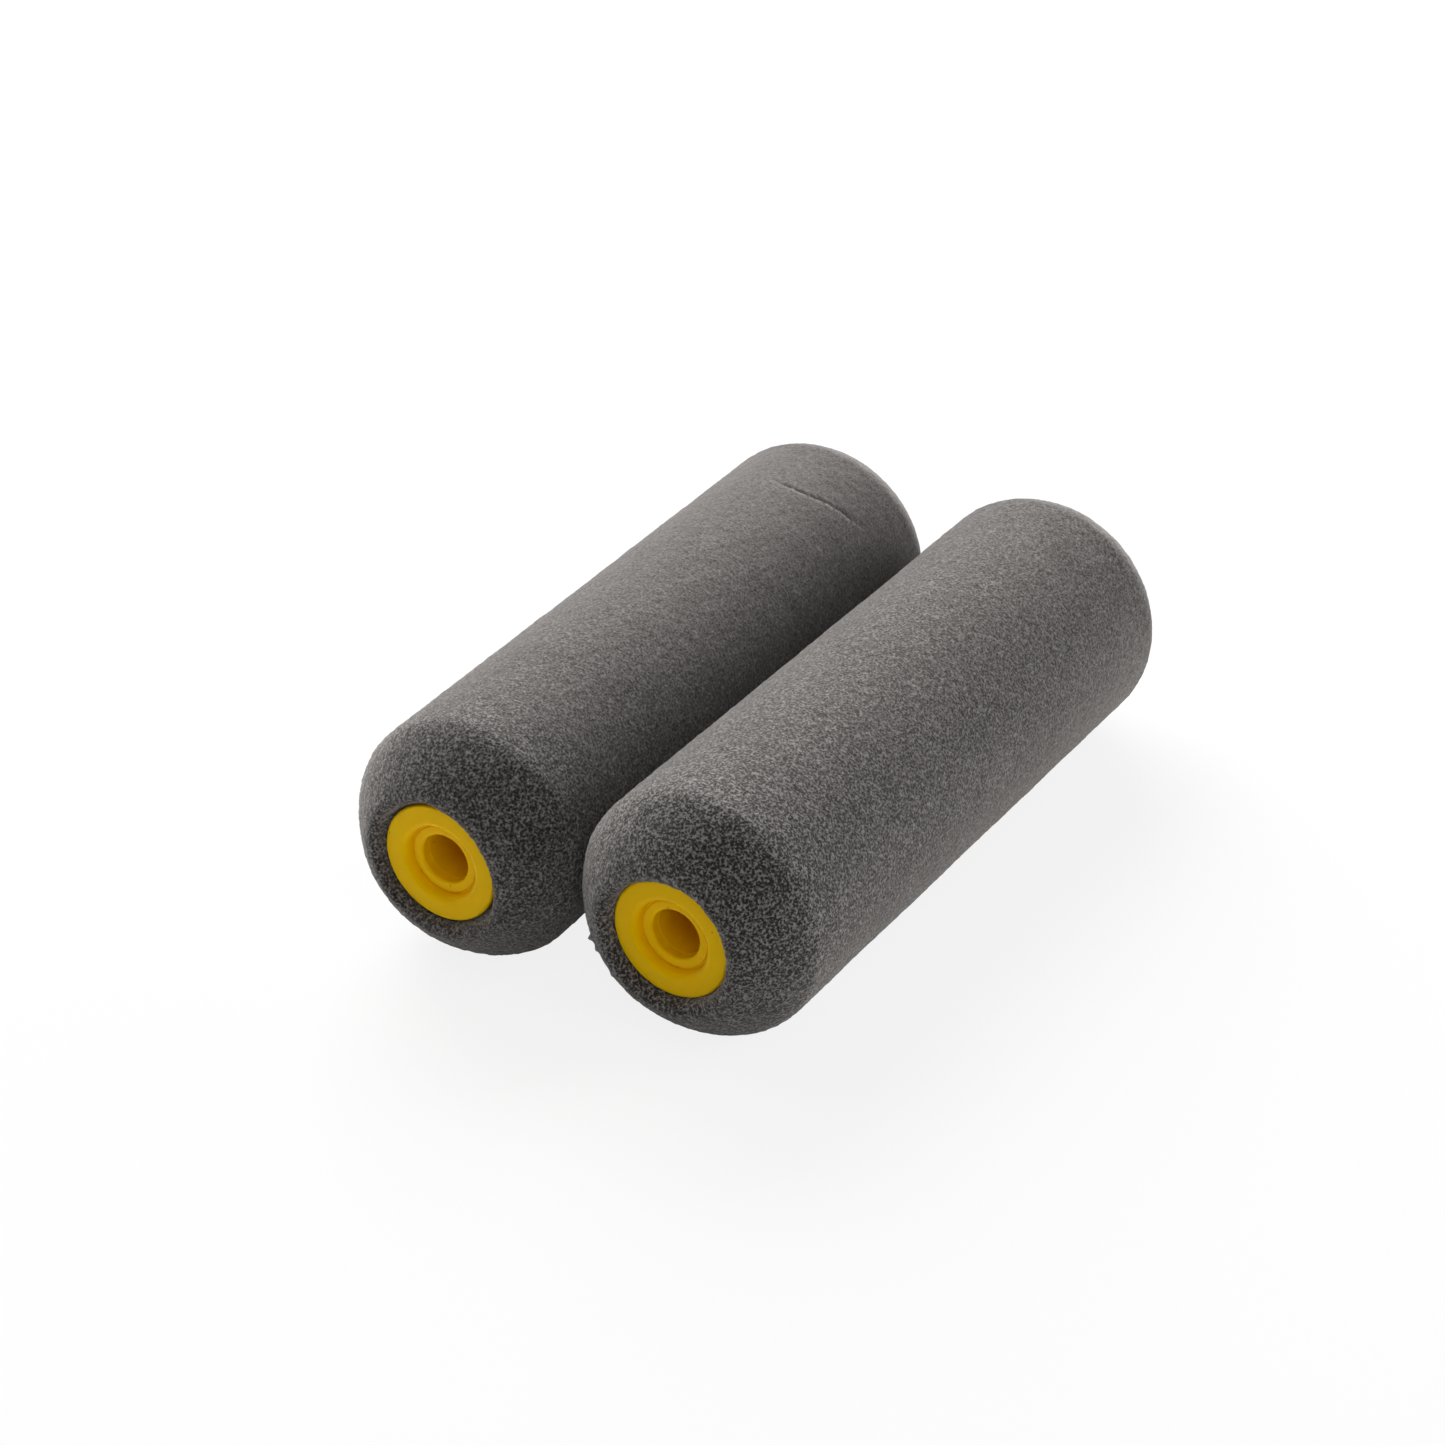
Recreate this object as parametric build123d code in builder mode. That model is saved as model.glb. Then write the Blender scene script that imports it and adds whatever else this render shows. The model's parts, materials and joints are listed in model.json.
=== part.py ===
from build123d import *
import os
from math import cos, radians, sin

# A pair of mini foam roller sleeves lying side by side. Millimetres, +Z up, the sleeves resting on
# z = 0. Sleeve A runs along +Y. Sleeve B lies on its +X side, turned a little about +Z, so that the
# two covers all but touch at the front and part towards the back. The front is the -Y end.

# Foam cover
sleeve_length = 100.0       # foam, from nose to nose
foam_diameter = 32.0
end_depth = 8.4             # axial length of the rounded end, from the nose to the full diameter
shoulder_turn = 3.0         # how far the rounding keeps near the full diameter before it turns in
nose_turn = 1.2             # how far it keeps near the nose plane before it turns back
lip_radius = 1.0            # roll of the foam into its own hole
mouth_gap = 0.4             # radial, by which the hole opens past the flange where the roll starts

# Core tube
core_diameter = 15.0
core_wall = 1.2

# End cap: a flange that closes the tube, a shallow recess, and a journal tube for the wire
bore_diameter = 6.4         # turns freely on a 6 mm wire
nose_to_flange = 1.25       # the flange lies this far behind the foam's nose
flange_overhang = 0.35      # radial, by which the flange stands out past the tube and holds the foam
flange_thickness = 1.6
flange_edge_radius = 0.3
journal_wall = 1.3
journal_setback = 1.1       # from the flange's face to the journal's mouth
journal_edge_radius = 0.18
journal_length = 16.0
mouth_step = 0.06           # radial, by which the mouth is wider than the bore
mouth_depth = 1.4           # axial length of the mouth, its sloping step included
mouth_radius = 0.35         # rounding of the mouth's edge
groove_depth = 0.25         # of the groove around the journal, below the journal's mouth
groove_width = 0.22         # between the journal and the foot of the recess's side
groove_radius = 0.1
recess_draft = 0.2          # radial run of the recess's side
recess_edge_radius = 0.8    # broad round that leads from the flange's face down into the recess
web_thickness = 1.2         # floor between spigot and journal
spigot_wall = 0.8
spigot_length = 9.0         # from the flange's back to the spigot's end
spigot_lead = 0.4           # chamfer that leads the spigot into the tube
spigot_clearance = 0.15     # radial, between spigot and tube
crush_rib_count = 6
crush_rib_width = 0.8
crush_rib_bite = 0.05       # radial, by which the ribs press into the tube
gusset_count = 4
gusset_thickness = 0.9

# How the pair lies
cover_gap = 0.5             # between the two covers at the front shoulders
sleeve_b_turn = 1.25        # degrees by which sleeve B parts from sleeve A
sleeve_b_setback = 0.35     # sleeve B's nose lies this far behind sleeve A's

# Sizes that follow from these
foam_radius = foam_diameter / 2
core_radius = core_diameter / 2
core_inner_radius = core_radius - core_wall
bore_radius = bore_diameter / 2
mouth_bore_radius = bore_radius + mouth_step
journal_radius = bore_radius + journal_wall
spigot_radius = core_inner_radius - spigot_clearance
spigot_inner_radius = spigot_radius - spigot_wall
recess_depth = journal_setback + groove_depth
recess_foot_radius = journal_radius + groove_width
recess_top_radius = recess_foot_radius + recess_draft
flange_radius = core_radius + flange_overhang
foam_mouth_radius = flange_radius + mouth_gap
flange_back = nose_to_flange + flange_thickness
web_back = nose_to_flange + recess_depth + web_thickness
spigot_end = flange_back + spigot_length
journal_mouth = nose_to_flange + journal_setback
journal_end = journal_mouth + journal_length
core_length = sleeve_length - 2 * flange_back
bore_start = journal_mouth + mouth_depth
bore_span = sleeve_length - 2 * bore_start


def foam_cover(base):
    """Foam cover about the base plane's +Y, its front nose on the base plane's X axis."""
    lip_top = foam_mouth_radius + lip_radius
    with BuildPart() as cover:
        with BuildSketch(base):
            with BuildLine():
                Polyline(
                    (core_radius, sleeve_length / 2),
                    (core_radius, flange_back),
                    (flange_radius, flange_back),
                    (foam_mouth_radius, lip_radius),
                )
                RadiusArc((foam_mouth_radius, lip_radius), (lip_top, 0), lip_radius)
                Bezier(
                    (lip_top, 0),
                    (lip_top + nose_turn, 0),
                    (foam_radius, end_depth - shoulder_turn),
                    (foam_radius, end_depth),
                )
                Line((foam_radius, end_depth), (foam_radius, sleeve_length / 2))
                mirror(about=Plane.XZ.offset(-sleeve_length / 2))
            make_face()
        revolve(axis=Axis(base.origin, base.y_dir))
    return cover.part


def core_tube(base):
    """Plain tube between the backs of the two flanges."""
    with BuildPart() as tube:
        with BuildSketch(Plane(base.origin + base.y_dir * flange_back, base.x_dir, base.y_dir)):
            Circle(core_radius)
            Circle(core_inner_radius, mode=Mode.SUBTRACT)
        extrude(amount=core_length)
    return tube.part


def end_cap(base):
    """Moulded cap whose axis is the base plane's +Y and whose flange faces -Y."""
    floor = nose_to_flange + recess_depth
    outline = [
        ((flange_radius, nose_to_flange), flange_edge_radius),
        ((recess_top_radius, nose_to_flange), recess_edge_radius),
        ((recess_foot_radius, floor), groove_radius),
        ((journal_radius, floor), 0),
        ((journal_radius, journal_mouth), journal_edge_radius),
        ((mouth_bore_radius, journal_mouth), mouth_radius),
        ((mouth_bore_radius, bore_start - mouth_step), 0),
        ((bore_radius, bore_start), 0),
        ((bore_radius, journal_end), 0),
        ((journal_radius, journal_end), journal_edge_radius),
        ((journal_radius, web_back), 0),
        ((spigot_inner_radius, web_back), 0),
        ((spigot_inner_radius, spigot_end), 0),
        ((spigot_radius - spigot_lead, spigot_end), 0),
        ((spigot_radius, spigot_end - spigot_lead), 0),
        ((spigot_radius, flange_back), 0),
        ((flange_radius, flange_back), 0),
    ]
    axis = Axis(base.origin, base.y_dir)
    across = Plane(base.origin, base.x_dir, base.y_dir)
    rib_top = core_inner_radius + crush_rib_bite
    rib_depth = rib_top - (spigot_radius - spigot_wall / 2)
    gusset_depth = spigot_inner_radius - journal_radius
    with BuildPart() as cap:
        with BuildSketch(base):
            with BuildLine():
                FilletPolyline(
                    [point for point, _ in outline],
                    radius=[radius for _, radius in outline],
                    close=True,
                )
            make_face()
        revolve(axis=axis)
        with BuildSketch(across.offset(flange_back)):
            with PolarLocations(rib_top - rib_depth / 2, crush_rib_count):
                Rectangle(rib_depth, crush_rib_width)
        extrude(amount=spigot_length - 2 * spigot_lead)
        with BuildSketch(across.offset(web_back)):
            with PolarLocations(journal_radius + gusset_depth / 2, gusset_count):
                Rectangle(gusset_depth + journal_wall, gusset_thickness)
            Circle(journal_radius - journal_wall / 2, mode=Mode.SUBTRACT)
        extrude(amount=spigot_end - web_back - spigot_lead)
    return cap.part


def sleeve_plane(x, y, turn):
    """Level plane through a sleeve's axis: +Y along the sleeve, the origin at its front nose."""
    return Plane(origin=(x, y, foam_radius), x_dir=(cos(radians(turn)), sin(radians(turn)), 0))


# Sleeve B turns clockwise seen from above. Its front shoulder is where it comes closest to sleeve A.
shoulder_drift = end_depth * sin(radians(sleeve_b_turn))
spacing = foam_radius * (1 + cos(radians(sleeve_b_turn))) - shoulder_drift + cover_gap
placings = {
    "sleeve_a": (0, 0, 0),
    "sleeve_b": (spacing, sleeve_b_setback, -sleeve_b_turn),
}

# The origin is the middle of the pair's footprint.
covers = [foam_cover(sleeve_plane(*placing)) for placing in placings.values()]
footprint = Compound(children=covers).bounding_box()
middle_x = footprint.center().X
middle_y = footprint.center().Y

os.makedirs("parts", exist_ok=True)
for name, (x, y, turn) in placings.items():
    front = sleeve_plane(x - middle_x, y - middle_y, turn)
    back_nose = front.origin + front.y_dir * sleeve_length
    rear = Plane(origin=back_nose, x_dir=-front.x_dir)
    pieces = {
        "foam_cover": foam_cover(front),
        "core_tube": core_tube(front),
        "front_cap": end_cap(front),
        "rear_cap": end_cap(rear),
    }
    for piece_name, piece in pieces.items():
        piece.label = f"{name}_{piece_name}"
        export_step(piece, f"parts/{piece.label}.step")
    print(name, "bore starts at", front.origin + front.y_dir * bore_start, "span", bore_span)
    print(name, "a mating wire leaves along", -front.y_dir)
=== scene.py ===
import json
from math import cos, pi, radians, sin
import bpy
import numpy as np
from mathutils import Matrix, Vector, noise


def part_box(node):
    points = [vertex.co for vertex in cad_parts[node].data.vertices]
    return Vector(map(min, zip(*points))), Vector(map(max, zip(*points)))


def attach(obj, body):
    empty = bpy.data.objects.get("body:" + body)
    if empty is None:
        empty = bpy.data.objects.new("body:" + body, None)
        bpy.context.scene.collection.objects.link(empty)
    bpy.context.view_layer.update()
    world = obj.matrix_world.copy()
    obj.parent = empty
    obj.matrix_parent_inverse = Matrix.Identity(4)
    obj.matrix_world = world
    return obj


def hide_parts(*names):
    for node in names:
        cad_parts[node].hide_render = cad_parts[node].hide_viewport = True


# Two mini foam roller sleeves on a pale floor, dressed around the CAD frame. Metres, +Z up.
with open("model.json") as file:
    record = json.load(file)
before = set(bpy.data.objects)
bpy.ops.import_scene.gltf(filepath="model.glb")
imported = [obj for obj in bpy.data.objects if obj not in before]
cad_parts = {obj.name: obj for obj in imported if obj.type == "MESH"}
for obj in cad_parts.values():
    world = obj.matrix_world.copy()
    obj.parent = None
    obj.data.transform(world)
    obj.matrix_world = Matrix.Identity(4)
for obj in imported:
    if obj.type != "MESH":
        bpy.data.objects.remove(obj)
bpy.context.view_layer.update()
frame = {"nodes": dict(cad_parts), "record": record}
MM = 0.001

# ---------------------------------------------------------------- where the sleeves lie
# A sleeve's local frame: X across, Y along its axis from the front nose, Z up, origin on the axis.
CORE_RADIUS = 7.5 * MM
low_a, high_a = (Vector(corner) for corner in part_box("sleeve_a_foam_cover"))
FOAM_RADIUS = (high_a.z - low_a.z) / 2
SLEEVE_LENGTH = high_a.y - low_a.y
mounts = {mount["name"]: mount for mount in frame["record"]["mounts"]}
nose_to_bore = mounts["sleeve_a_bore"]["pos_m"][1] - low_a.y


def sleeve_matrix(name):
    """Matrix that takes a sleeve's local frame to the row frame."""
    mount = mounts[f"{name}_bore"]
    along = -Vector(mount["axis"]).normalized()
    origin = Vector(mount["pos_m"]) - along * nose_to_bore
    across = along.cross(Vector((0, 0, 1)))
    columns = Matrix((across, along, across.cross(along))).transposed()
    return Matrix.Translation(origin) @ columns.to_4x4()


# ---------------------------------------------------------------- camera
# The view is given from sleeve A's front nose.
CAMERA_AZIMUTH = radians(31.72)
CAMERA_ELEVATION = radians(31.04)
CAMERA_ROLL = radians(-0.86)
CAMERA_DISTANCE = 458.9 * MM
CAMERA_AIM = Vector((12.33, 46.26, 0)) * MM
LENS_MM = 89.86
SENSOR_MM = 36.0


def make_camera():
    flat = cos(CAMERA_ELEVATION)
    back = Vector((sin(CAMERA_AZIMUTH) * flat, -cos(CAMERA_AZIMUTH) * flat, sin(CAMERA_ELEVATION)))
    right = Vector((0, 0, 1)).cross(back).normalized()
    level = Matrix((right, back.cross(right), back)).transposed()
    turned = level @ Matrix.Rotation(CAMERA_ROLL, 3, "Z")
    aim = sleeve_matrix("sleeve_a").translation + CAMERA_AIM
    camera = bpy.data.objects.new("camera", bpy.data.cameras.new("camera"))
    camera.data.sensor_width = SENSOR_MM
    camera.data.lens = LENS_MM
    camera.data.clip_start = 1 * MM
    camera.matrix_world = Matrix.Translation(aim + back * CAMERA_DISTANCE) @ turned.to_4x4()
    bpy.context.collection.objects.link(camera)
    bpy.context.scene.camera = camera


# ---------------------------------------------------------------- materials
def linear(hex_colour):
    """sRGB hex colour as linear RGBA."""
    channels = [int(hex_colour[i:i + 2], 16) / 255 for i in (1, 3, 5)]
    return [c / 12.92 if c <= 0.04045 else ((c + 0.055) / 1.055) ** 2.4 for c in channels] + [1]


def add_node(tree, kind, values=None, links=None, **settings):
    """A node with its settings, the values of its own sockets, and links from other nodes' sockets."""
    node = tree.nodes.new(kind)
    for name, setting in settings.items():
        setattr(node, name, setting)
    for socket, value in (values or {}).items():
        node.inputs[socket].default_value = value
    for socket, source in (links or {}).items():
        tree.links.new(source, node.inputs[socket])
    return node


def new_material(name):
    """An empty node material and its tree."""
    material = bpy.data.materials.new(name)
    material.use_nodes = True
    material.node_tree.nodes.clear()
    return material, material.node_tree


def ramp(tree, source, stops):
    """A colour ramp through (position, hex colour) stops."""
    node = add_node(tree, "ShaderNodeValToRGB", links={"Fac": source})
    elements = node.color_ramp.elements
    while len(elements) < len(stops):
        elements.new(0.5)
    for element, (position, colour) in zip(elements, stops):
        element.position = position
        element.color = linear(colour)
    return node.outputs["Color"]


def per_metre(size_mm):
    """Texture scale at which one feature of the pattern is this many millimetres."""
    return 1 / (size_mm * MM)


# The grain's spread about the foam's own tone is painted shade in the pores and painted light and shade on
# the struts.
FOAM_PORE_MM = 0.40     # real pores are nearer 0.3 mm, drawn as coarse as they need to show
FOAM_STRUT_MM = 0.27    # lit and shaded struts between them
# The wide-open cells' darker centres are painted shade inside them.
FOAM_PIT_MM = 1.1       # between the few cells that were cut wide open
FOAM_PIT_SHARE = 0.20   # radius of such a pit, as a share of that
FOAM_BLOTCH_MM = 5.0    # slow drift in shade from the dye and the cut
FOAM_PORE_WEIGHT = 0.35     # of the pores in the grain, beside the struts
FOAM_GRAIN_MIDDLE = 0.69    # mean of the grain, about which its openness spreads it
FOAM_BLOTCH_WEIGHT = 0.12
FOAM_SHADE_START = 0.44     # that brings the mean shade to the ramp's middle
FOAM_BUMP_DEPTH = 0.10 * MM
# The spread this attribute sets is that of the painted pore shade and strut light and shade.
GRAIN_ATTRIBUTE = "grain_shade_spread"      # the covers carry it: how far the grain spreads at each point


def foam_material():
    """Charcoal open-cell polyurethane foam, cut and left raw: its own uneven dark tone, with painted shade
    in the pores and painted light and shade on the struts between them, spread wider, open and coarser to
    the eye, on the cut ends, and a velvety sheen where the surface turns away."""
    material, tree = new_material("open_cell_foam")
    place = add_node(tree, "ShaderNodeTexCoord").outputs["Object"]
    pores = add_node(tree, "ShaderNodeTexVoronoi", {"Scale": per_metre(FOAM_PORE_MM)},
                     {"Vector": place}, feature="F1", voronoi_dimensions="3D")
    struts = add_node(tree, "ShaderNodeTexNoise",
                      {"Scale": per_metre(FOAM_STRUT_MM), "Detail": 2.0, "Roughness": 0.6},
                      {"Vector": place}, noise_dimensions="3D")
    blotch = add_node(tree, "ShaderNodeTexNoise", {"Scale": per_metre(FOAM_BLOTCH_MM), "Detail": 3.0},
                      {"Vector": place}, noise_dimensions="3D")
    grain = add_node(tree, "ShaderNodeMath", {1: FOAM_PORE_WEIGHT},
                     {0: pores.outputs["Distance"], 2: struts.outputs["Fac"]},
                     operation="MULTIPLY_ADD")
    gain = add_node(tree, "ShaderNodeAttribute", attribute_name=GRAIN_ATTRIBUTE).outputs["Fac"]
    swing = add_node(tree, "ShaderNodeMath", {1: FOAM_GRAIN_MIDDLE}, {0: grain.outputs["Value"]},
                     operation="SUBTRACT")
    drift = add_node(tree, "ShaderNodeMath", {1: FOAM_BLOTCH_WEIGHT, 2: FOAM_SHADE_START},
                     {0: blotch.outputs["Fac"]}, operation="MULTIPLY_ADD")
    shade = add_node(tree, "ShaderNodeMath", None,
                     {0: swing.outputs["Value"], 1: gain, 2: drift.outputs["Value"]},
                     operation="MULTIPLY_ADD")
    # Foam's own tone at the middle stop, painted shade in the pores below it, painted light on the struts
    # above it.
    tone_and_painted_grain_shade = ramp(tree, shade.outputs["Value"],
                         [(0.20, "#131212"), (0.50, "#4e4b4a"), (1.00, "#888583")])
    # Painted shade in the centres of the few wide-open cells.
    cells = add_node(tree, "ShaderNodeTexVoronoi", {"Scale": per_metre(FOAM_PIT_MM)},
                     {"Vector": place}, feature="F1", voronoi_dimensions="3D")
    painted_pit_shade = ramp(tree, cells.outputs["Distance"],
                [(FOAM_PIT_SHARE * 0.5, "#a4a4a4"), (FOAM_PIT_SHARE * 1.5, "#ffffff")])
    colour = add_node(tree, "ShaderNodeVectorMath", None, {0: tone_and_painted_grain_shade, 1: painted_pit_shade},
                      operation="MULTIPLY").outputs["Vector"]
    bump = add_node(tree, "ShaderNodeBump", {"Strength": 0.5, "Distance": FOAM_BUMP_DEPTH},
                    {"Height": grain.outputs["Value"]})
    shader = add_node(tree, "ShaderNodeBsdfPrincipled",
                      {"Roughness": 0.95, "Specular IOR Level": 0.1, "Sheen Weight": 0.6,
                       "Sheen Roughness": 0.6, "Sheen Tint": linear("#bdb8b4")},
                      {"Base Color": colour, "Normal": bump.outputs["Normal"]})
    add_node(tree, "ShaderNodeOutputMaterial", links={"Surface": shader.outputs["BSDF"]})
    return material


CAP_FLOW_MM = 4.0           # faint drift in the yellow from the melt's flow
CAP_SATIN_MM = 0.5          # unevenness that the mould's satin wall leaves
CAP_SATIN_DEPTH = 0.01 * MM
CAP_SPECK_EVERY_MM = 2.2
CAP_SPECK_SHARE = 0.05      # radius of a speck, as a share of that


def cap_material():
    """Yellow polypropylene as it leaves the mould: satin and a little translucent, so that its shadows
    glow and its edges against the foam turn orange, with a few dark specks of regrind in it."""
    material, tree = new_material("moulded_polypropylene_yellow")
    place = add_node(tree, "ShaderNodeTexCoord").outputs["Object"]
    flow = add_node(tree, "ShaderNodeTexNoise", {"Scale": per_metre(CAP_FLOW_MM), "Detail": 2.0},
                    {"Vector": place}, noise_dimensions="3D")
    colour = ramp(tree, flow.outputs["Fac"], [(0.3, "#fac500"), (0.7, "#fcca00")])
    cells = add_node(tree, "ShaderNodeTexVoronoi", {"Scale": per_metre(CAP_SPECK_EVERY_MM)},
                     {"Vector": place}, feature="F1", voronoi_dimensions="3D")
    specks = ramp(tree, cells.outputs["Distance"],
                  [(CAP_SPECK_SHARE * 0.5, "#6b5a48"), (CAP_SPECK_SHARE, "#ffffff")])
    speckled = add_node(tree, "ShaderNodeVectorMath", None, {0: colour, 1: specks}, operation="MULTIPLY")
    satin = add_node(tree, "ShaderNodeTexNoise", {"Scale": per_metre(CAP_SATIN_MM), "Detail": 3.0},
                     {"Vector": place}, noise_dimensions="3D")
    bump = add_node(tree, "ShaderNodeBump", {"Strength": 0.1, "Distance": CAP_SATIN_DEPTH},
                    {"Height": satin.outputs["Fac"]})
    shader = add_node(tree, "ShaderNodeBsdfPrincipled",
                      {"Roughness": 0.18, "IOR": 1.49, "Specular IOR Level": 0.12,
                       "Specular Tint": linear("#ffd800"), "Subsurface Weight": 0.25,
                       "Subsurface Radius": (1.0, 0.6, 0.05), "Subsurface Scale": 0.8 * MM},
                      {"Base Color": speckled.outputs["Vector"], "Normal": bump.outputs["Normal"]})
    add_node(tree, "ShaderNodeOutputMaterial", links={"Surface": shader.outputs["BSDF"]})
    return material


CORE_LINE_MM = 0.6          # spacing of the die's lines across the tube
CORE_LINE_STRETCH = 0.02    # scale along the tube, which draws the lines out


def core_material():
    """Natural polypropylene tube, extruded: milky off-white with faint lines along its length."""
    material, tree = new_material("extruded_polypropylene_natural")
    place = add_node(tree, "ShaderNodeTexCoord").outputs["Object"]
    stretch = add_node(tree, "ShaderNodeMapping", {"Scale": (1.0, CORE_LINE_STRETCH, 1.0)}, {"Vector": place})
    lines = add_node(tree, "ShaderNodeTexNoise", {"Scale": per_metre(CORE_LINE_MM), "Detail": 2.0},
                     {"Vector": stretch.outputs["Vector"]}, noise_dimensions="3D")
    colour = ramp(tree, lines.outputs["Fac"], [(0.3, "#d6d4cc"), (0.7, "#e2e0d9")])
    shader = add_node(tree, "ShaderNodeBsdfPrincipled", {"Roughness": 0.4, "IOR": 1.49},
                      {"Base Color": colour})
    add_node(tree, "ShaderNodeOutputMaterial", links={"Surface": shader.outputs["BSDF"]})
    return material


# ---------------------------------------------------------------- foam covers
# The cover's section, as in the part's source.
END_DEPTH = 8.4 * MM
SHOULDER_TURN = 3.0 * MM
NOSE_TURN = 1.2 * MM
LIP_RADIUS = 1.0 * MM
FLANGE_RADIUS = 7.85 * MM
FLANGE_BACK = 2.85 * MM
MOUTH_RADIUS = 8.25 * MM
LIP_TOP_RADIUS = MOUTH_RADIUS + LIP_RADIUS
# Rows of the mesh along the section, and steps around it.
MOUTH_STEPS = 4
LIP_STEPS = 7
END_STEPS = 32
BODY_STEPS = 207
INSIDE_STEPS = 3
AROUND = 330
# Angles around a sleeve run from +X over the top. Where the front mouth isn't round: each bump is
# (degrees, half its width in degrees, millimetres outwards).
MOUTH_BUMPS = {
    "sleeve_a": ((150, 16, 0.35), (-35, 18, 0.45), (95, 14, 0.30), (30, 40, -0.30)),
    "sleeve_b": ((45, 30, 0.20), (115, 25, -0.20)),
}
MOUTH_BUMP_END = 12.5 * MM      # radius by which the bumps have faded out
MOUTH_CLEARANCE = 0.03 * MM     # that the foam keeps from the flange's rim
BEHIND_LIP = LIP_RADIUS * 1.2   # depth from which the mouth's side faces that rim
# How open the grain is along each sleeve, which sets its cells' relief and how far its painted pore shade
# and strut light and shade spread: on the front's cut end, just behind it, and at the rear.
GRAIN_PLACES = (END_DEPTH, END_DEPTH + 8 * MM, 92 * MM)
GRAIN_OPENNESS = {"sleeve_a": (2.4, 1.5, 0.7), "sleeve_b": (3.2, 2.2, 1.3)}
# Crease across sleeve A's top near its rear end: distance from the rear nose at each angle.
CREASE_DEGREES = (40.0, 50.5, 61.0, 71.5, 82.0, 93.0)
CREASE_FROM_REAR_MM = (16.5, 17.7, 18.4, 19.5, 19.9, 19.1)
CREASE_SINK = 0.17 * MM
CREASE_SIDE = 0.15 * MM
CREASE_WANDER = 0.25 * MM       # to either side
CREASE_WANDERS = 11.0           # of them in each radian
CREASE_FADE = 0.5               # power below 1, so that the crease stays deep until near its ends
OUTSIDE_FROM = CORE_RADIUS * 1.5    # radius above which a point of the mesh is on the foam's outside
SLEEVE_B_SWELL = 0.2 * MM       # by which sleeve B's foam is the fuller of the two
# Torn tufts that stand out of the foam: (degrees, radius, distance from the front nose, height), in mm.
TUFTS = {
    "sleeve_a": (),
    "sleeve_b": ((201, 12.5, 2.4, 0.50), (208, 12.2, 2.1, 0.25), (224, 11.6, 1.6, 0.20)),
}
TUFT_WIDTH = 0.35 * MM
# Relief of the foam: (height, size of its features), in mm. The slow unevenness of the cut comes first,
# then the cells, which stand out more where the grain is open.
SLOW_RELIEF = ((0.10, 16.0), (0.06, 4.0))
CELL_RELIEF = ((0.05, 1.1), (0.07, 0.55))
CELLS_SHUT = 0.75       # share of the cells' relief where the grain isn't open at all
CELLS_OPENING = 0.25    # that each unit of openness adds
SEED_STRIDES = (17.3, 5.1, 9.7)     # that each seed moves the noise by, to a fresh place


def cover_section():
    """Closed section of the cover, as rows of (radius, depth), and how many rows are outside."""
    mouth = np.linspace((FLANGE_RADIUS, FLANGE_BACK), (MOUTH_RADIUS, LIP_RADIUS), MOUTH_STEPS,
                        endpoint=False)
    turn = np.linspace(0, pi / 2, LIP_STEPS, endpoint=False)
    lip = np.column_stack((LIP_TOP_RADIUS - LIP_RADIUS * np.cos(turn), LIP_RADIUS * (1 - np.sin(turn))))
    t = np.linspace(0, 1, END_STEPS, endpoint=False)[:, None]
    handles = np.array([(LIP_TOP_RADIUS, 0), (LIP_TOP_RADIUS + NOSE_TURN, 0),
                        (FOAM_RADIUS, END_DEPTH - SHOULDER_TURN), (FOAM_RADIUS, END_DEPTH)])
    weights = np.hstack(((1 - t) ** 3, 3 * (1 - t) ** 2 * t, 3 * (1 - t) * t ** 2, t ** 3))
    front = np.vstack((mouth, lip, weights @ handles))
    body_depth = np.linspace(END_DEPTH, SLEEVE_LENGTH - END_DEPTH, BODY_STEPS)
    body = np.column_stack((np.full(BODY_STEPS, FOAM_RADIUS), body_depth))
    back = np.column_stack((front[::-1, 0], SLEEVE_LENGTH - front[::-1, 1]))
    inside_depth = np.linspace(SLEEVE_LENGTH - FLANGE_BACK, FLANGE_BACK, INSIDE_STEPS)
    inside = np.column_stack((np.full(INSIDE_STEPS, CORE_RADIUS), inside_depth))
    outside = np.vstack((front, body, back))
    return np.vstack((outside, inside)), len(outside)


def ring_mesh(name, points):
    """Closed mesh through points[row][step], whose rows and steps both close on themselves."""
    rows, around = points.shape[:2]
    index = np.arange(rows * around).reshape(rows, around)
    next_row = np.roll(index, -1, axis=0)
    quads = np.stack((index, np.roll(index, -1, axis=1), np.roll(next_row, -1, axis=1), next_row), axis=-1)
    mesh = bpy.data.meshes.new(name)
    mesh.from_pydata(points.reshape(-1, 3).tolist(), [], quads.reshape(-1, 4).tolist())
    mesh.polygons.foreach_set("use_smooth", [True] * len(mesh.polygons))
    return mesh


def noise_at(places, size_mm, seed):
    """Smooth noise from -1 to 1 at each place, with features of this size."""
    offset = Vector([seed * stride for stride in SEED_STRIDES])
    scale = per_metre(size_mm)
    return np.array([noise.noise(Vector(place) * scale + offset) for place in places])


def relief(places, layers, seed):
    """Sum of noise layers of (height, size) at each place, in mm, with one seed for each layer."""
    return sum(tall * noise_at(places, size_mm, seed + i) for i, (tall, size_mm) in enumerate(layers))


def bend_mouth(rings, angle, bumps):
    """Moves the front mouth's rings in and out by its bumps, and keeps them off the flange's rim."""
    shift = np.zeros(len(angle))
    for centre, half_width, bump in bumps:
        apart = (np.degrees(angle) - centre + 180) % 360 - 180
        shift += bump * MM * np.exp(-(apart / half_width) ** 2)
    radius, depth = rings[..., 0], rings[..., 1]
    outwards = np.clip((MOUTH_BUMP_END - radius) / (MOUTH_BUMP_END - LIP_TOP_RADIUS), 0, 1)
    forwards = np.clip((FLANGE_BACK - depth) / (FLANGE_BACK - LIP_RADIUS), 0, 1)
    at_front = depth < END_DEPTH
    radius += shift * outwards * forwards * at_front
    beside_flange = at_front & (depth > BEHIND_LIP) & (radius < LIP_TOP_RADIUS)
    radius[beside_flange] = np.maximum(radius[beside_flange], FLANGE_RADIUS + MOUTH_CLEARANCE)


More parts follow.
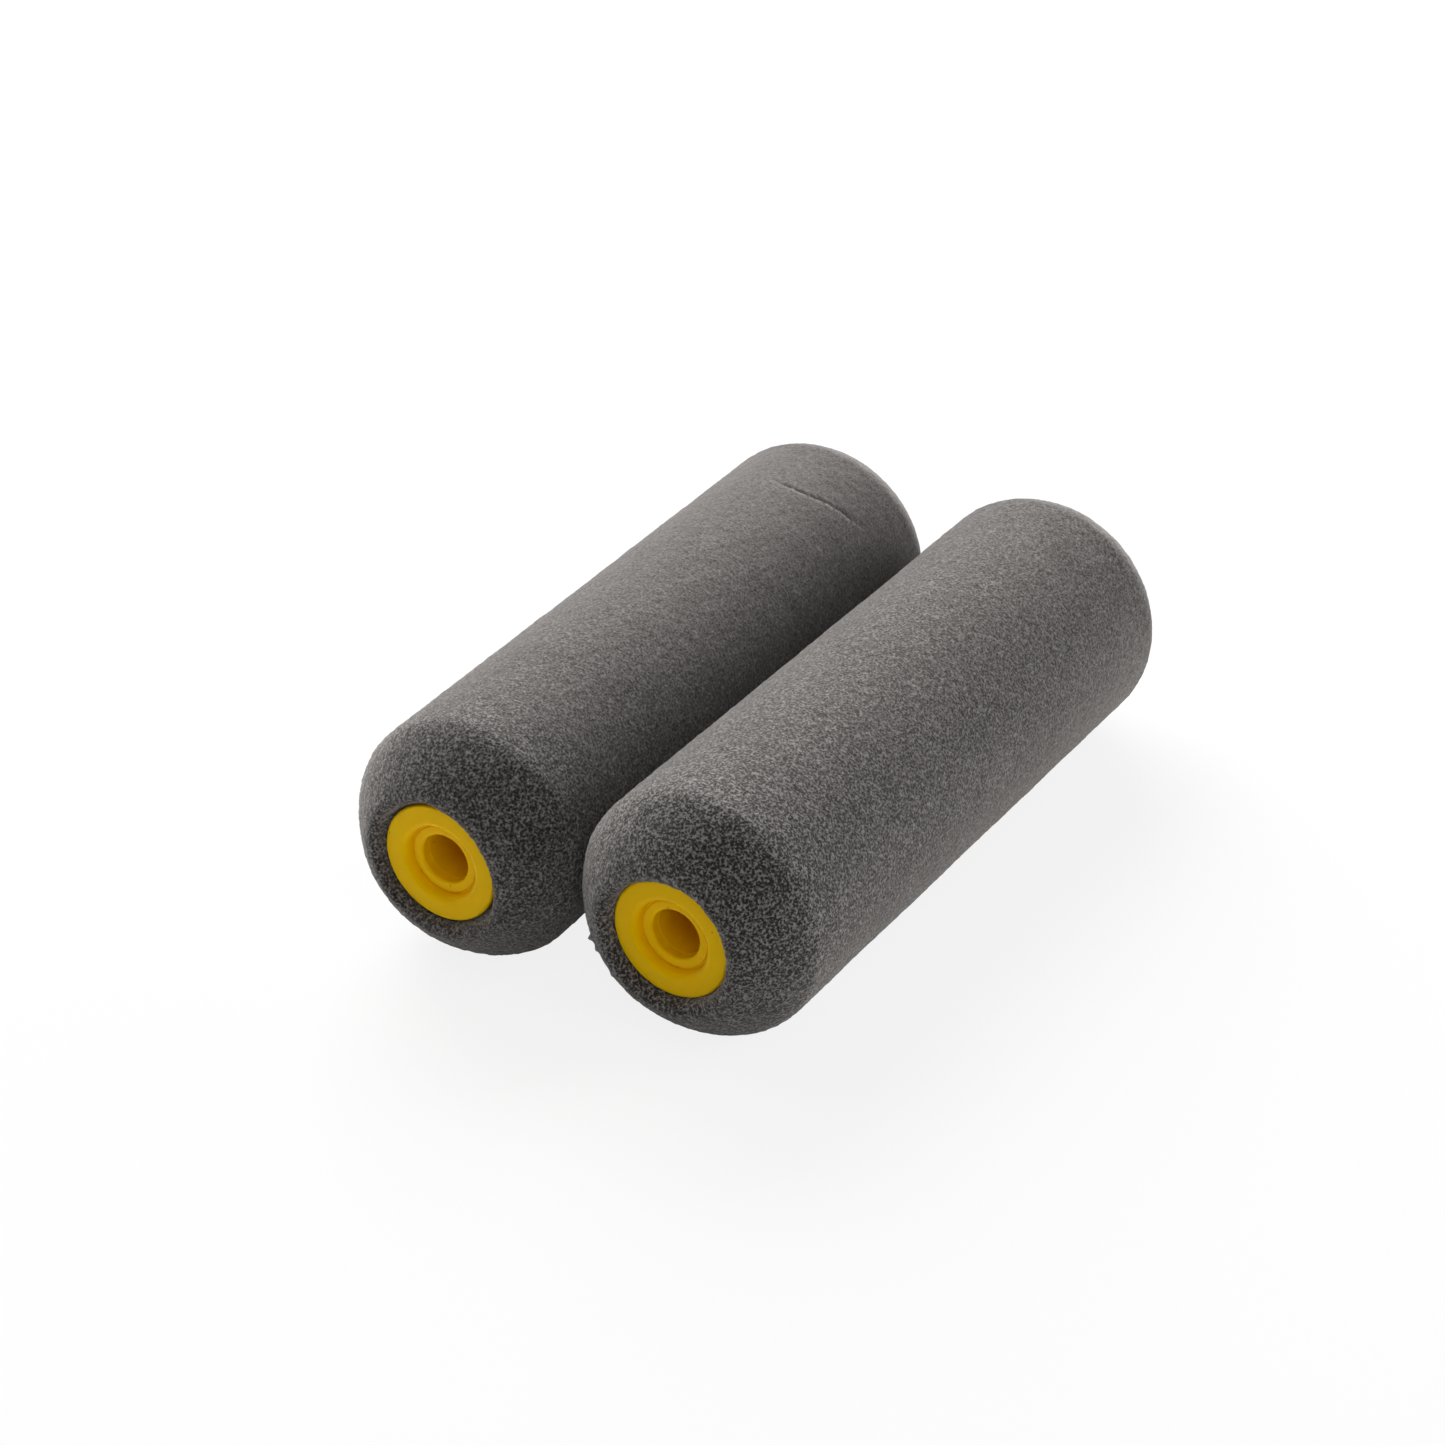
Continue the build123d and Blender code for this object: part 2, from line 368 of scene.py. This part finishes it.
def press_crease(rings, angle):
    """Gathers three rings of the barrel along the crease and sinks the middle one."""
    degrees = np.degrees(angle)
    from_rear = np.interp(degrees, CREASE_DEGREES, CREASE_FROM_REAR_MM) * MM
    wander = [noise.noise(Vector((turned * CREASE_WANDERS, 0, 0))) for turned in angle]
    from_rear += CREASE_WANDER * np.array(wander)
    along = (degrees - CREASE_DEGREES[0]) / (CREASE_DEGREES[-1] - CREASE_DEGREES[0])
    for step in np.flatnonzero((along > 0) & (along < 1)):
        depth = SLEEVE_LENGTH - from_rear[step]
        away = np.where(rings[:, step, 0] > OUTSIDE_FROM, abs(rings[:, step, 1] - depth), 1)
        row = np.argmin(away)
        rings[row - 1:row + 2, step, 1] = depth + np.array((-1, 0, 1)) * CREASE_SIDE
        rings[row, step, 0] -= CREASE_SINK * sin(pi * along[step]) ** CREASE_FADE


def foam_cover(name, seed, swell, creased):
    """The cover of one sleeve: the CAD section, uneven as cut foam is, with the relief of its cells."""
    section, outside_rows = cover_section()
    tangent = np.roll(section, -1, axis=0) - np.roll(section, 1, axis=0)
    normal = np.column_stack((tangent[:, 1], -tangent[:, 0]))
    normal /= np.linalg.norm(normal, axis=1)[:, None]
    angle = np.linspace(0, 2 * pi, AROUND, endpoint=False)
    radial = np.column_stack((np.cos(angle), np.zeros(AROUND), np.sin(angle)))
    axial = np.array((0, 1, 0))
    rings = np.repeat(section[:, None, :], AROUND, axis=1)
    bend_mouth(rings, angle, MOUTH_BUMPS[name])
    if creased:
        press_crease(rings, angle)
    points = rings[..., :1] * radial + rings[..., 1:] * axial
    normals = normal[:, None, :1] * radial + normal[:, None, 1:] * axial
    flat = points[:outside_rows].reshape(-1, 3)
    openness = np.interp(rings[..., 1], GRAIN_PLACES, GRAIN_OPENNESS[name])
    slow = relief(flat, SLOW_RELIEF, seed)
    cells = relief(flat, CELL_RELIEF, seed + len(SLOW_RELIEF))
    cells *= CELLS_SHUT + CELLS_OPENING * openness[:outside_rows].ravel()
    height = (slow + cells).reshape(outside_rows, AROUND) * MM + swell
    for degrees, out, from_nose, tall in TUFTS[name]:
        root = np.array((out * cos(radians(degrees)), from_nose, out * sin(radians(degrees)))) * MM
        away = np.linalg.norm(points[:outside_rows] - root, axis=2)
        height += tall * MM * np.exp(-(away / TUFT_WIDTH) ** 2)
    points[:outside_rows] += normals[:outside_rows] * height[..., None]
    cover = bpy.data.objects.new(f"{name}_foam", ring_mesh(f"{name}_foam", points))
    cover.data.transform(sleeve_matrix(name))
    # The foam gives where it rests, so nothing of it goes below the floor.
    for vertex in cover.data.vertices:
        vertex.co.z = max(vertex.co.z, 0)
    grain = cover.data.attributes.new(GRAIN_ATTRIBUTE, "FLOAT", "POINT")
    grain.data.foreach_set("value", openness.ravel())
    cover.data.materials.append(foam)
    bpy.context.collection.objects.link(cover)
    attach(cover, name)
    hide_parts(f"{name}_foam_cover")


# ---------------------------------------------------------------- floor, lights and background
FLOOR_SIZE = 3.0
FLOOR_LEVEL = -0.02 * MM    # just under the foam, so that the two surfaces don't share a plane
FLOOR_WHITENESS = 0.85      # share of the floor's own white, the rest being the light that falls on it


def background_rays(tree):
    """1 on the rays that show the background as white: seen directly, in gloss, or through glass."""
    path = add_node(tree, "ShaderNodeLightPath")
    gloss = add_node(tree, "ShaderNodeMath", None, {0: path.outputs["Is Camera Ray"],
                                                    1: path.outputs["Is Glossy Ray"]}, operation="MAXIMUM")
    glass = add_node(tree, "ShaderNodeMath", None, {0: gloss.outputs["Value"],
                                                    1: path.outputs["Is Transmission Ray"]},
                     operation="MAXIMUM")
    return glass.outputs["Value"]


def make_floor():
    """Pale paper floor, white to the eye, that keeps the sleeves' soft shadow."""
    material, tree = new_material("pale_paper_floor")
    paper = add_node(tree, "ShaderNodeBsdfDiffuse", {"Color": linear("#e7e7e7")})
    white = add_node(tree, "ShaderNodeEmission", {"Color": (1, 1, 1, 1), "Strength": 1.0})
    shown = add_node(tree, "ShaderNodeMixShader", {"Fac": FLOOR_WHITENESS},
                     {1: paper.outputs["BSDF"], 2: white.outputs["Emission"]})
    either = add_node(tree, "ShaderNodeMixShader", None,
                      {"Fac": background_rays(tree), 1: paper.outputs["BSDF"], 2: shown.outputs["Shader"]})
    add_node(tree, "ShaderNodeOutputMaterial", links={"Surface": either.outputs["Shader"]})
    half = FLOOR_SIZE / 2
    corners = [(x * half, y * half, FLOOR_LEVEL) for x, y in ((-1, -1), (1, -1), (1, 1), (-1, 1))]
    mesh = bpy.data.meshes.new("floor")
    mesh.from_pydata(corners, [], [(0, 1, 2, 3)])
    mesh.materials.append(material)
    floor = bpy.data.objects.new("floor", mesh)
    bpy.context.collection.objects.link(floor)


LAMP_DISTANCE = 0.8
LAMP_SIZE = 0.6
# Soft boxes: azimuth from +X towards +Y, elevation, watts.
LAMPS = {
    "back_left": (135, 35, 11.2),
    "back_right": (45, 8, 5.5),
    "left": (180, 45, 2.3),
    "right": (0, 8, 0.5),
    "front_high": (315, 48, 1.4),
}
AMBIENT = 0.02


def make_lamps():
    """Soft boxes round the sleeves, strongest behind them on the left."""
    for name, (azimuth, elevation, watts) in LAMPS.items():
        lamp = bpy.data.lights.new(name, "AREA")
        lamp.shape = "SQUARE"
        lamp.size = LAMP_SIZE
        lamp.energy = watts
        flat = cos(radians(elevation))
        towards = Vector((flat * cos(radians(azimuth)), flat * sin(radians(azimuth)),
                          sin(radians(elevation))))
        light = bpy.data.objects.new(name, lamp)
        light.location = towards * LAMP_DISTANCE
        light.rotation_euler = towards.to_track_quat("Z", "Y").to_euler()
        bpy.context.collection.objects.link(light)


def make_world():
    """White where it is seen, and a faint even light where it isn't."""
    world = bpy.data.worlds.new("studio")
    world.use_nodes = True
    tree = world.node_tree
    tree.nodes.clear()
    white = add_node(tree, "ShaderNodeBackground", {"Color": (1, 1, 1, 1), "Strength": 1.0})
    dim = add_node(tree, "ShaderNodeBackground", {"Color": (1, 1, 1, 1), "Strength": AMBIENT})
    either = add_node(tree, "ShaderNodeMixShader", None,
                      {"Fac": background_rays(tree), 1: dim.outputs["Background"],
                       2: white.outputs["Background"]})
    add_node(tree, "ShaderNodeOutputWorld", links={"Surface": either.outputs["Shader"]})
    bpy.context.scene.world = world


# ---------------------------------------------------------------- build
foam = foam_material()
cap = cap_material()
core = core_material()
make_camera()
make_floor()
make_lamps()
make_world()
bpy.context.scene.view_settings.view_transform = "Standard"
foam_cover("sleeve_a", seed=3, swell=0.0, creased=True)
foam_cover("sleeve_b", seed=11, swell=SLEEVE_B_SWELL, creased=False)
for node_name, node in frame["nodes"].items():
    if node_name.endswith("_cap"):
        node.data.materials.clear()
        node.data.materials.append(cap)
    elif node_name.endswith("_core_tube"):
        node.data.materials.clear()
        node.data.materials.append(core)
